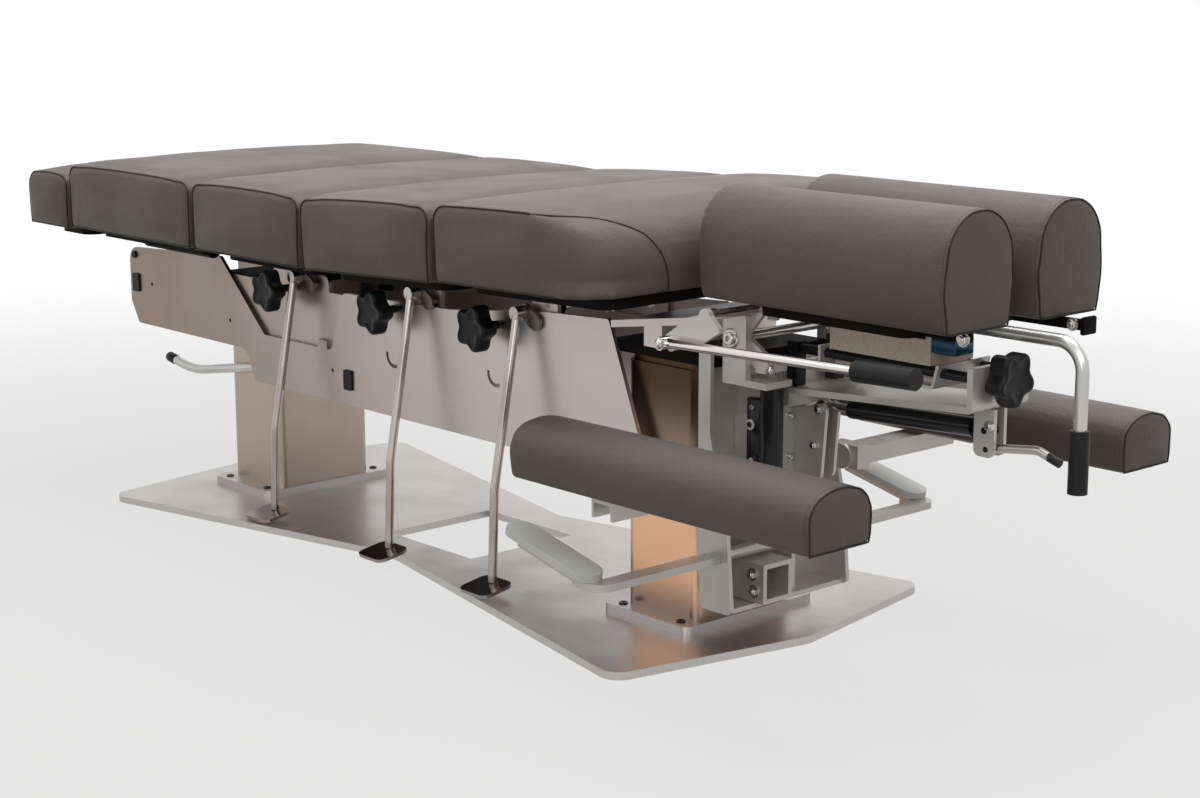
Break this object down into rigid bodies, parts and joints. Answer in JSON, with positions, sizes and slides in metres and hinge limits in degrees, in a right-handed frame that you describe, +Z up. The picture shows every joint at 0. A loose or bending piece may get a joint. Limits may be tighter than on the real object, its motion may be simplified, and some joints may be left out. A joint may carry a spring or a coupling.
{
  "type": "chiropractic table",
  "caption": "Lifting chiropractic table with sprung drop sections, split head cushions on a tilting tray, side armrests and foot pedals on a waisted floor plate.",
  "frame": {"origin": "on the floor under the middle of the base plate", "axes": "+X along the table towards the head, +Y to the far side, +Z up"},
  "size_m": [1.832, 0.645, 0.572],
  "materials": {
    "brushed_steel_plate": "brushed",
    "column_steel": "brushed",
    "silver_paint": "satin",
    "dark_paint": "satin",
    "bright_steel": "polished",
    "chrome": "polished",
    "silver_tube": "satin",
    "black_plastic": "fine grain",
    "black_rubber": "matt",
    "black_steel": "gloss",
    "pedal_pad": "satin",
    "upholstery": "fine grain vinyl",
    "speckled_board": "speckled chipboard"
  },
  "bodies": {
    "base": {"base_plate": "brushed_steel_plate", "column_casings": "column_steel", "column_flanges": "brushed_steel_plate", "flange_bolts": "bright_steel", "lift_motors": "dark_paint"},
    "lift_frame": {"column_inner_tubes": "column_steel", "near_side_plate": "brushed_steel_plate", "far_side_plate": "brushed_steel_plate", "inner_side_plates": "brushed_steel_plate", "side_plate_plugs": "black_plastic", "frame_hinge_pins": "bright_steel", "frame_cross_members": "dark_paint", "top_cross_plate": "brushed_steel_plate", "head_frame_plates": "silver_paint", "accessory_receiver": "silver_paint", "armrest_pivot_blocks": "dark_paint", "riser_strut_body": "black_steel", "leg_cushion": "upholstery", "leg_board": "dark_paint"},
    "end_section": {"end_cushion": "upholstery", "end_board": "dark_paint"},
    "pelvic_section": {"pelvic_cushion": "upholstery", "pelvic_board": "dark_paint"},
    "lumbar_section": {"lumbar_cushion": "upholstery", "lumbar_board": "dark_paint"},
    "chest_section": {"chest_cushion": "upholstery", "chest_board": "dark_paint"},
    "pelvic_pedal": {"pelvic_pedal": "chrome"},
    "lumbar_pedal": {"lumbar_pedal": "chrome"},
    "chest_pedal": {"chest_pedal": "chrome"},
    "pelvic_knob": {"pelvic_tension_knob": "black_plastic"},
    "lumbar_knob": {"lumbar_tension_knob": "black_plastic"},
    "chest_knob": {"chest_tension_knob": "black_plastic"},
    "foot_release": {"foot_release_lever": "chrome", "foot_release_cap": "black_plastic"},
    "lift_paddles": {"paddle_bars": "silver_paint", "paddle_pads": "pedal_pad"},
    "near_armrest": {"near_armrest_pad": "upholstery", "near_armrest_arm": "silver_paint"},
    "far_armrest": {"far_armrest_pad": "upholstery", "far_armrest_arm": "silver_paint"},
    "riser": {"riser_frame": "silver_paint", "riser_rods": "bright_steel"},
    "tray": {"head_tray": "silver_paint", "tray_shafts": "black_steel"},
    "tilt_cylinder": {"tilt_spring_body": "black_steel"},
    "tilt_piston": {"tilt_spring_rod": "bright_steel"},
    "carriage": {"head_carriage": "silver_paint", "head_block": "speckled_board", "head_bridge": "silver_paint"},
    "near_headrest": {"near_head_cushion": "upholstery", "near_cushion_carrier": "dark_paint"},
    "far_headrest": {"far_head_cushion": "upholstery", "far_cushion_carrier": "dark_paint"},
    "drop_lever": {"drop_lever": "chrome", "drop_lever_grip": "black_rubber"},
    "head_knob": {"head_knob": "black_plastic"},
    "swing_handle": {"swing_handle": "silver_tube", "swing_handle_grip": "black_rubber"},
    "spring_trigger": {"spring_trigger": "black_plastic"}
  },
  "joints": [
    {"name": "table_lift", "type": "slide", "parent": "base", "child": "lift_frame", "axis": [0, 0, 1], "range_m": [0, 0.25]},
    {"name": "end_slide", "type": "slide", "parent": "lift_frame", "child": "end_section", "axis": [-1, 0, 0], "range_m": [0, 0.09]},
    {"name": "pelvic_drop", "type": "hinge", "parent": "lift_frame", "child": "pelvic_section", "pos_m": [-0.303, 0, 0.388], "axis": [0, -1, 0], "range_deg": [0, 2.5]},
    {"name": "lumbar_drop", "type": "hinge", "parent": "lift_frame", "child": "lumbar_section", "pos_m": [-0.026, 0, 0.388], "axis": [0, -1, 0], "range_deg": [-2.6, 0]},
    {"name": "chest_drop", "type": "hinge", "parent": "lift_frame", "child": "chest_section", "pos_m": [0.263, 0, 0.388], "axis": [0, -1, 0], "range_deg": [-1.54, 0]},
    {"name": "pelvic_pedal_swing", "type": "hinge", "parent": "lift_frame", "child": "pelvic_pedal", "pos_m": [-0.2676, 0, 0.3575], "axis": [0, 1, 0], "range_deg": [0, 12], "stiffness_Nm_per_rad": 1.5, "springref_deg": -8.59},
    {"name": "lumbar_pedal_swing", "type": "hinge", "parent": "lift_frame", "child": "lumbar_pedal", "pos_m": [0.0188, 0, 0.366], "axis": [0, 1, 0], "range_deg": [0, 12], "stiffness_Nm_per_rad": 1.5, "springref_deg": -8.59},
    {"name": "chest_pedal_swing", "type": "hinge", "parent": "lift_frame", "child": "chest_pedal", "pos_m": [0.247, 0, 0.366], "axis": [0, 1, 0], "range_deg": [0, 12], "stiffness_Nm_per_rad": 1.5, "springref_deg": -8.59},
    {"name": "pelvic_knob_turn", "type": "hinge", "parent": "lift_frame", "child": "pelvic_knob", "pos_m": [-0.335, 0, 0.345], "axis": [0, -1, 0], "continuous": true},
    {"name": "lumbar_knob_turn", "type": "hinge", "parent": "lift_frame", "child": "lumbar_knob", "pos_m": [-0.068, 0, 0.345], "axis": [0, -1, 0], "continuous": true},
    {"name": "chest_knob_turn", "type": "hinge", "parent": "lift_frame", "child": "chest_knob", "pos_m": [0.16, 0, 0.351], "axis": [0, -1, 0], "continuous": true},
    {"name": "foot_release_lift", "type": "hinge", "parent": "lift_frame", "child": "foot_release", "pos_m": [-0.385, -0.094, 0.217], "axis": [0, 1, 0], "range_deg": [0, 10], "stiffness_Nm_per_rad": 1, "springref_deg": -11.46},
    {"name": "paddle_rock", "type": "hinge", "parent": "lift_frame", "child": "lift_paddles", "pos_m": [0.574, 0, 0.117], "axis": [0, 1, 0], "range_deg": [-6, 6], "stiffness_Nm_per_rad": 80},
    {"name": "near_armrest_tilt", "type": "hinge", "parent": "lift_frame", "child": "near_armrest", "pos_m": [0.59, 0, 0.214], "axis": [0, -1, 0], "range_deg": [-15, 15]},
    {"name": "far_armrest_tilt", "type": "hinge", "parent": "lift_frame", "child": "far_armrest", "pos_m": [0.59, 0, 0.214], "axis": [0, -1, 0], "range_deg": [-15, 15]},
    {"name": "head_rise", "type": "slide", "parent": "lift_frame", "child": "riser", "axis": [0, 0, 1], "range_m": [0, 0.06]},
    {"name": "head_tilt", "type": "hinge", "parent": "riser", "child": "tray", "pos_m": [0.59, 0, 0.388], "axis": [0, -1, 0], "range_deg": [-8, 6]},
    {"name": "tilt_cylinder_pivot", "type": "hinge", "parent": "tray", "child": "tilt_cylinder", "pos_m": [0.9, 0, 0.314], "axis": [0, -1, 0], "range_deg": [-2.4, 2.4]},
    {"name": "tilt_piston_stroke", "type": "slide", "parent": "tilt_cylinder", "child": "tilt_piston", "axis": [-0.999, 0, -0.0443], "range_m": [-0.013, 0.013]},
    {"name": "carriage_slide", "type": "slide", "parent": "tray", "child": "carriage", "axis": [1, 0, 0], "range_m": [0, 0.03]},
    {"name": "near_headrest_spread", "type": "slide", "parent": "carriage", "child": "near_headrest", "axis": [0, -1, 0], "range_m": [-0.015, 0.018]},
    {"name": "far_headrest_spread", "type": "slide", "parent": "carriage", "child": "far_headrest", "axis": [0, 1, 0], "range_m": [-0.015, 0.018]},
    {"name": "drop_lever_pull", "type": "hinge", "parent": "tray", "child": "drop_lever", "pos_m": [0.625, 0, 0.427], "axis": [0, -1, 0], "range_deg": [-20, 0], "stiffness_Nm_per_rad": 3, "springref_deg": 45.84},
    {"name": "head_knob_turn", "type": "hinge", "parent": "tray", "child": "head_knob", "pos_m": [0.905, -0.01, 0.377], "axis": [1, 0, 0], "continuous": true},
    {"name": "handle_swing", "type": "hinge", "parent": "carriage", "child": "swing_handle", "pos_m": [1.014, 0.008, 0.4245], "axis": [1, 0, 0], "range_deg": [-25, 25]},
    {"name": "trigger_squeeze", "type": "hinge", "parent": "tray", "child": "spring_trigger", "pos_m": [0.903, 0, 0.293], "axis": [0, -1, 0], "range_deg": [0, 10], "stiffness_Nm_per_rad": 0.2, "springref_deg": -17.19}
  ],
  "couplings": [
    {"joint": "tilt_cylinder_pivot", "follows": "head_tilt", "ratio": 0.24},
    {"joint": "tilt_piston_stroke", "follows": "head_tilt", "m_per_rad": 0.08422}
  ]
}
